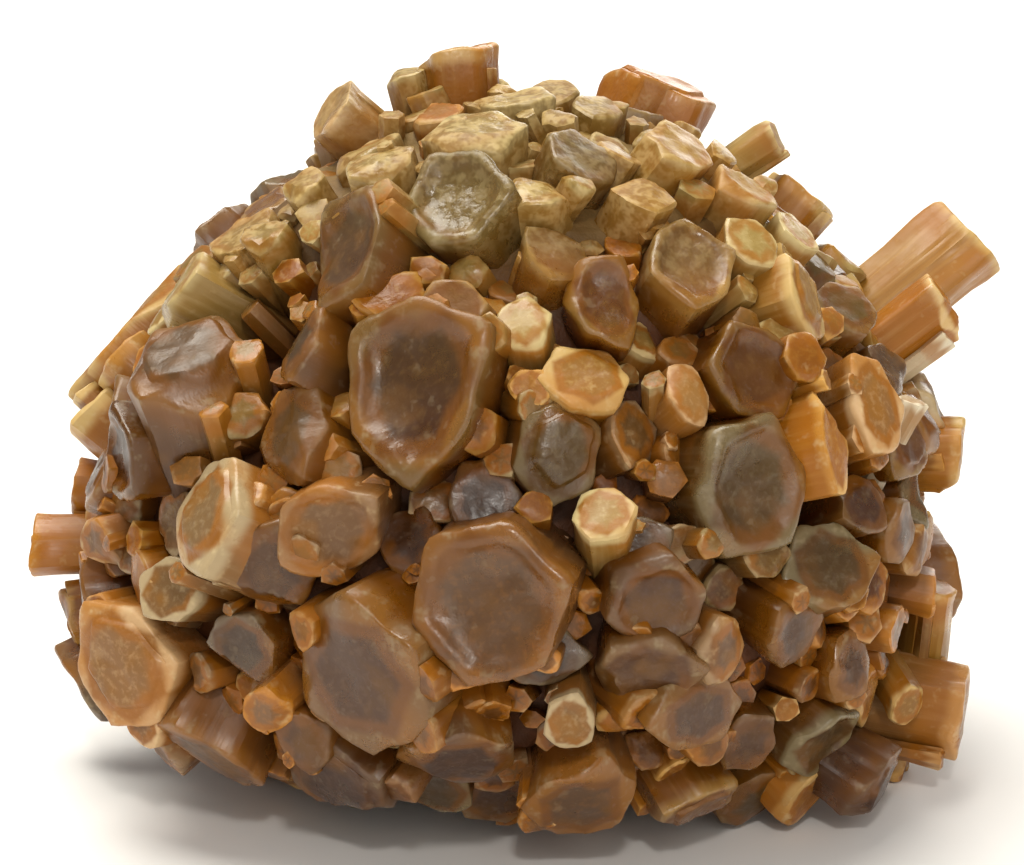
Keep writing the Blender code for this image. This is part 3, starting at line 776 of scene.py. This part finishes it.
# The crystals on the upper front
# Above the middle the crystals are smaller and paler: olive, honey and cream, with a few bright
# orange ones whose ends are hollow.
join_piece(end_on([
    (4.7, 13.3, 3.9, 4.4, 0, 0.8, "dished", "amber", -4, -16),
    (9.2, 15.2, 4.4, 5.6, 15, 0.8, "dished", "orange", -6, -10),
    (-3.0, 18.4, 5.4, 6.0, 10, 0.8, "dished", "olive", -12, -16),
    (-8.6, 16.0, 5.6, 6.0, 20, 0.9, "dished", "umber", -20, -6),
    (-6.2, 13.6, 3.4, 2.6, 0, 0.4, "plain", "amber"),
    (-3.0, 12.8, 3.0, 3.0, 10, 0.7, "plain", "orange"),
    (0.4, 12.4, 2.6, 3.0, 20, 0.2, "plain", "cream"),
    (2.3, 16.1, 3.4, 3.2, 10, 0.3, "plain", "orange"),
    (1.1, 19.2, 3.0, 2.7, 8, 0.5, "plain", "cream"),
    (3.6, 20.8, 4.2, 4.4, 12, 0.5, "plain", "olive", 14, -12),
    (6.9, 19.0, 3.0, 2.8, 20, 0.5, "plain", "orange"),
    (-1.9, 22.3, 4.6, 4.2, 0, 0.6, "plain", "cream"),
    (-6.8, 20.6, 3.2, 3.6, 5, 0.6, "plain", "cream"),
    (8.8, 21.3, 3.8, 3.6, 15, 0.6, "plain", "honey", 22, 6),
    (12.2, 19.4, 3.6, 3.4, 5, 0.5, "plain", "cream"),
    (12.4, 16.4, 2.8, 3.0, 0, 0.5, "plain", "cream"),
    (15.1, 13.8, 3.8, 4.4, 10, 0.6, "stepped", "honey", 24, -12),
    (15.0, 17.2, 2.8, 2.8, 0, 0.2, "plain", "cream"),
    (-11.0, 11.2, 3.2, 4.4, 0, 0.4, "plain", "dark", -30, 6),
    (-11.5, 6.6, 3.8, 4.8, 10, 0.4, "plain", "brown", -26, 0),
]), "upper_front_crystals")


# The crystals on the left flank
# Blocky smoky and peach prisms that point to the left and down, seen partly from their sides.
join_piece(end_on([
    (-16.7, 10.3, 6.6, 6.4, 12, 1.0, "stepped", "brown", 26, 22),
    (-20.0, 5.2, 4.5, 4.6, 20, 1.0, "dished", "dark", -10, -14),
    (-21.6, 0.9, 3.2, 2.8, 10, 0.4, "plain", "lilac"),
    (-15.4, 2.4, 4.8, 6.4, 0, 1.0, "stepped", "grey", -22, 18),
    (-12.4, -0.7, 4.4, 4.8, 15, 0.2, "plain", "brown", 22, -14),
    (-19.6, -1.1, 3.0, 3.0, 0, 0.0, "plain", "rust"),
    (-22.4, -1.8, 3.2, 4.0, 5, 0.2, "plain", "umber"),
    (-19.2, -5.3, 6.4, 6.8, 5, 1.4, "stepped", "peach", 26, 8),
    (-18.4, -9.6, 4.4, 4.2, 20, 0.4, "plain", "lilac", -14, -22),
    (-14.9, -9.8, 5.0, 6.4, 8, 1.2, "plain", "blush", 4, -42),
    (-14.4, -4.6, 3.6, 3.8, 0, -0.2, "plain", "slate"),
    (-12.6, -7.8, 2.8, 2.6, 10, 0.7, "plain", "blush"),
]), "left_flank_crystals")


# The crystals on the right flank
# A bright orange prism seen from its side, a peach one beside it, and smaller smoky ones down to
# the foot.
join_piece(end_on([
    (18.4, 7.8, 3.4, 5.2, 0, 1.0, "plain", "peach", -20, -8),
    (15.8, 5.8, 2.8, 5.8, 0, 1.6, "plain", "orange", 38, 8),
    (16.4, -0.4, 4.4, 5.0, 10, 0.6, "plain", "smoky", -24, 10),
    (14.7, -3.9, 3.8, 3.8, 25, 0.4, "plain", "brown", 16, -22),
    (10.8, -4.6, 2.8, 3.4, 0, 0.9, "plain", "lilac"),
    (13.4, 0.2, 2.8, 2.4, 0, 0.2, "plain", "smoky"),
    (15.8, -9.2, 4.4, 4.0, 0, 1.0, "dished", "smoky", 8, -16),
    (17.8, -5.6, 3.2, 3.4, 10, 0.2, "plain", "brown"),
    (18.8, -11.6, 4.4, 3.8, 5, 0.6, "stepped", "plum"),
    (20.3, 1.6, 3.0, 3.2, 0, 0.4, "plain", "brown"),
]), "right_flank_crystals")


# The crystals on the crown
# Round the top edge the prisms stand up against the background and show their grooved sides.
SEEN_LENGTH = 0.8


def side_on(rows, build=with_satellites):
    """Crystals seen from their sides, from rows of where their ends are and how they point."""
    items = []
    for across, up, toward, wide, deep, length, heading, nod, form, tone in rows:
        offset = (RIGHT * across + UP * up + TOWARD * toward) * MM
        in_view = RIGHT * math.cos(math.radians(heading)) + UP * math.sin(math.radians(heading))
        axis = in_view * math.cos(math.radians(nod)) + TOWARD * math.sin(math.radians(nod))
        for share in FOOTPRINTS:
            along = offset - axis * length * share * MM
            grown.append((along.normalized(), wide / 2.0 * MM))
        items += build(pattern_for(min(wide, deep) * MM, form), GROWTH_CENTRE + offset, axis,
                       TOWARD, wide * MM, deep * MM, length * SEEN_LENGTH * MM, 0.0, tone)
    return items


# Columns: across, up and toward of the end, wide, deep, length, heading in the view, nod, form,
# tone
join_piece(side_on([
    (-2.8, 26.6, 3.0, 4.1, 4.4, 13.0, 95, 10, "plain", "rust"),
    (-5.6, 25.3, 3.5, 2.2, 2.6, 12.0, 106, 15, "plain", "cream"),
    (-9.4, 23.2, 5.0, 3.7, 4.5, 11.0, 140, 20, "plain", "peach"),
    (1.9, 24.3, 4.0, 3.2, 3.6, 12.0, 86, 20, "plain", "olive"),
    (8.3, 25.1, -1.0, 6.4, 5.2, 14.0, 66, 5, "stepped", "rust"),
    (14.0, 22.3, 0.0, 2.5, 3.2, 11.0, 32, 12, "plain", "cream"),
    (15.4, 19.6, -2.5, 4.0, 4.4, 12.0, 51, 0, "grooved", "honey"),
    (17.6, 16.2, -2.0, 3.2, 3.8, 12.0, 44, 0, "grooved", "olive"),
    (-12.9, 18.6, 3.0, 3.4, 4.4, 12.0, 122, 20, "plain", "orange"),
    (-9.8, 19.6, 7.0, 3.2, 3.4, 10.0, 118, 32, "plain", "orange"),
    (-16.4, 15.6, 4.0, 2.8, 3.0, 11.0, 130, 30, "plain", "olive"),
]), "crown_crystals")


# The long pair
# Two parallel prisms that stand free of the rest at the upper right, the cluster's longest:
# orange and honey, with pale striped sides and frosted ends.
def alone(*measures):
    """One crystal with none beside it."""
    return [grow(*measures, shared=0.0)]


join_piece(side_on([
    (24.7, 17.2, -3.5, 4.8, 4.8, 22.0, 39, -6, "grooved", "honey"),
    (22.8, 13.7, 0.5, 4.0, 4.0, 18.0, 37, 4, "grooved", "flame"),
], alone), "long_pair")


# The crystals down the right edge
# Short prisms seen against the background: a striped cream one, small brown ones, an upright
# column and the big peach one under it.
join_piece(side_on([
    (22.3, 8.3, 0.0, 4.2, 4.0, 12.0, 22, 8, "plain", "grey"),
    (23.5, 5.4, 1.0, 3.9, 3.6, 12.0, 0, 8, "grooved", "honey"),
    (21.4, 1.3, 3.0, 3.2, 3.0, 10.0, -4, 28, "plain", "honey"),
    (21.8, -1.2, 2.0, 2.9, 3.2, 7.0, 86, 20, "grooved", "honey"),
    (23.4, -8.0, 3.0, 5.2, 4.8, 13.0, -10, 14, "plain", "peach"),
    (20.2, -7.2, 6.0, 2.4, 2.4, 7.0, -60, 40, "grooved", "honey"),
    (20.8, -10.8, 0.0, 3.2, 4.0, 10.0, -20, 5, "plain", "rust"),
]), "right_edge_crystals")


# The crystals down the left edge
# A wide striped honey fan and two narrower prisms seen from the side, then small amber and brown
# ones, and a dark grey one behind the big peach crystal.
join_piece(side_on([
    (-20.0, 12.8, -0.4, 10.4, 5.2, 14.0, 139.5, 0, "grooved", "honey"),
    (-22.8, 7.0, -1.0, 2.6, 3.4, 11.0, 168, 5, "grooved", "honey"),
    (-23.3, 3.6, -2.0, 3.2, 3.6, 11.0, 176, 0, "grooved", "amber"),
    (-25.2, 0.6, 0.0, 3.4, 3.2, 12.0, 182, 4, "plain", "amber"),
    (-23.5, -3.0, 0.0, 3.2, 3.2, 10.0, 190, 0, "plain", "umber"),
    (-22.9, -6.9, -1.5, 5.6, 4.4, 12.0, 215, 0, "plain", "slate"),
]), "left_edge_crystals")


# The crystals round the back and between the others
# The rest of the ball is grown over in the same way: wide prisms round the back, and narrower
# ones wherever the crystals leave room for them.
FILL_TRIES = 1600
FILL_SEED = 40
FILL_OVERLAP = 0.7 * MM
LOWEST_CLIMB = math.radians(-62.0)
ROOT_DEPTH = 0.30
OPEN_PLACES = [
    (-14.4, 12.6, 2.0),
    (-15.0, 20.0, 4.6),
    (22.6, 3.2, 2.0),
]
LARGE = {"facing": 0.05, "room": 2.2 * MM, "radius": (2.5 * MM, 3.9 * MM), "lean": 0.16,
         "out": (-0.6 * MM, 1.6 * MM), "dished": 0.3}
MIDDLING = {"facing": 1.0, "room": 1.3 * MM, "radius": (1.5 * MM, 2.5 * MM), "lean": 0.22,
            "out": (-1.3 * MM, 0.3 * MM), "dished": 0.0}
TONES_FROM = (
    (31.0 * MM, ("cream", "cream", "honey", "olive", "olive", "orange", "rust")),
    (21.0 * MM, ("honey", "olive", "amber", "brown", "cream", "orange", "smoky")),
    (10.0 * MM, ("brown", "umber", "smoky", "amber", "lilac", "blush", "grey")),
    (-1.0 * MM, ("plum", "brown", "smoky", "slate", "rust", "blush")),
)


def even_directions(count):
    """Directions spread evenly over the ball along one spiral."""
    golden = math.pi * (3.0 - math.sqrt(5.0))
    for number in range(count):
        height = 1.0 - 2.0 * (number + 0.5) / count
        ring = math.sqrt(1.0 - height * height)
        around = golden * number
        yield Vector((ring * math.cos(around), ring * math.sin(around), height))


def room_round(direction):
    """How far the growth surface is free round a direction, up to the nearest crystal's side."""
    reach = 1.0 / growth_level(direction)
    return min(reach * direction.angle(middle) - radius for middle, radius in grown)


def fill_places(size, chooser, tries=FILL_TRIES):
    """Where one size of crystal still finds room: its direction, axis, radius, turn and reach."""
    for direction in even_directions(tries):
        if direction.dot(TOWARD) > size["facing"] or math.asin(direction.z) < LOWEST_CLIMB:
            continue
        room = room_round(direction)
        if room < size["room"]:
            continue
        radius = min(chooser.uniform(*size["radius"]), room + FILL_OVERLAP)
        lean = Vector((chooser.uniform(-1, 1), chooser.uniform(-1, 1), chooser.uniform(-1, 1)))
        axis = (direction + lean * size["lean"]).normalized()
        turn = chooser.uniform(0.0, 60.0)
        reach = 1.0 / growth_level(direction) + chooser.uniform(*size["out"])
        dished = chooser.random() < size["dished"]
        grown.append((direction, radius))
        yield direction, axis, radius, turn, reach, dished


def tone_at(place):
    """A tone of the height where a crystal ends: pale on the crown, smoky brown at the foot."""
    for height, names in TONES_FROM:
        if place.z > height:
            return chance.choice(names)
    return TONES_FROM[-1][1][0]


for across, up, radius in OPEN_PLACES:
    grown.append((seen_place(across * MM, up * MM).normalized(), radius * MM))
chooser = random.Random(FILL_SEED)
fill = {"large": [], "middling": []}
for name, size in (("large", LARGE), ("middling", MIDDLING)):
    for direction, axis, radius, turn, reach, dished in fill_places(size, chooser):
        tip = GROWTH_CENTRE + direction * reach
        form = "dished" if dished else chance.choice(("plain", "plain", "stepped"))
        fill[name] += with_satellites(pattern_for(radius * 1.8, form), tip, axis,
                                      Vector((0.0, 0.0, 1.0)), radius * 2.0, radius * 1.8,
                                      reach * ROOT_DEPTH, turn, tone_at(tip))
join_piece(fill["large"], "back_crystals")
join_piece(fill["middling"], "crystals_between")


# The crust of small crystals
# In the crevices the gaps are grown over with small stubby crystals of every size.
SMALL_TRIES = 7000
MEDIUM_CRUST_FROM = 1.1 * MM
SMALL = {"facing": 1.0, "room": 0.30 * MM, "radius": (0.6 * MM, 1.5 * MM), "lean": 0.35,
         "out": (-2.2 * MM, 0.0 * MM), "dished": 0.0}
crust = []
for direction, axis, radius, turn, reach, dished in fill_places(SMALL, chooser, SMALL_TRIES):
    tip = GROWTH_CENTRE + direction * reach
    crust.append(grow("medium" if radius > MEDIUM_CRUST_FROM else "small", tip, axis,
                      Vector((0.0, 0.0, 1.0)), radius * 2.0, radius * 1.8, reach * ROOT_DEPTH,
                      turn, tone_at(tip), SHARED_SMALL))
join_piece(crust, "small_crystals")


# The pale growths
# A thin frosted white blade along the underside of the front one of the long pair, and another
# that stands on a crystal of the right flank.
join_piece(side_on([
    (22.7, 11.7, 1.6, 1.2, 1.0, 11.0, 37, 4, "plain", "white"),
    (20.0, 8.3, 9.4, 1.7, 1.2, 6.0, 64, 10, "plain", "white"),
], alone), "pale_growths")


# The floor and the light
# A plain pale sheet, a broad soft light overhead, weaker ones in front and behind, and a small
# lamp that gives the crystals their sharp glints.
bpy.ops.object.select_all(action="DESELECT")
bpy.ops.mesh.primitive_plane_add(size=6.0, location=(0.0, 0.0, 0.0))
floor = bpy.context.object
floor.name = "floor"
floor_material, nodes, links, shader = new_material("pale_floor", 0.8, 0.0, 1.45)
shader.inputs["Base Color"].default_value = (0.86, 0.85, 0.84, 1.0)
floor.data.materials.append(floor_material)


LIGHT_TARGET = Vector((0.0, 0.0, 18.0)) * MM


def soft_light(name, place, size, power, tint):
    """A square area light that points at the cluster."""
    data = bpy.data.lights.new(name, "AREA")
    data.shape = "SQUARE"
    data.size = size
    data.energy = power
    data.color = tint
    item = bpy.data.objects.new(name, data)
    bpy.context.scene.collection.objects.link(item)
    item.location = place
    item.rotation_euler = (LIGHT_TARGET - item.location).to_track_quat("-Z", "Y").to_euler()
    return item


soft_light("overhead", Vector((-0.12, 0.10, 0.55)), 0.40, 4.2, (1.0, 0.97, 0.88))
soft_light("front", Vector((0.15, -0.62, 0.26)), 0.50, 1.35, (1.0, 0.96, 0.86))
soft_light("lamp", Vector((0.02, -0.48, 0.42)), 0.05, 0.9, (1.0, 0.95, 0.88))
soft_light("behind", Vector((0.15, 0.50, 0.20)), 0.30, 1.0, (1.0, 0.97, 0.92))

world = bpy.data.worlds.new("studio")
bpy.context.scene.world = world
world.use_nodes = True
sky = world.node_tree.nodes["Background"]
sky.inputs["Color"].default_value = (1.0, 0.99, 0.97, 1.0)
sky.inputs["Strength"].default_value = 0.32
bpy.context.scene.view_settings.view_transform = "Standard"
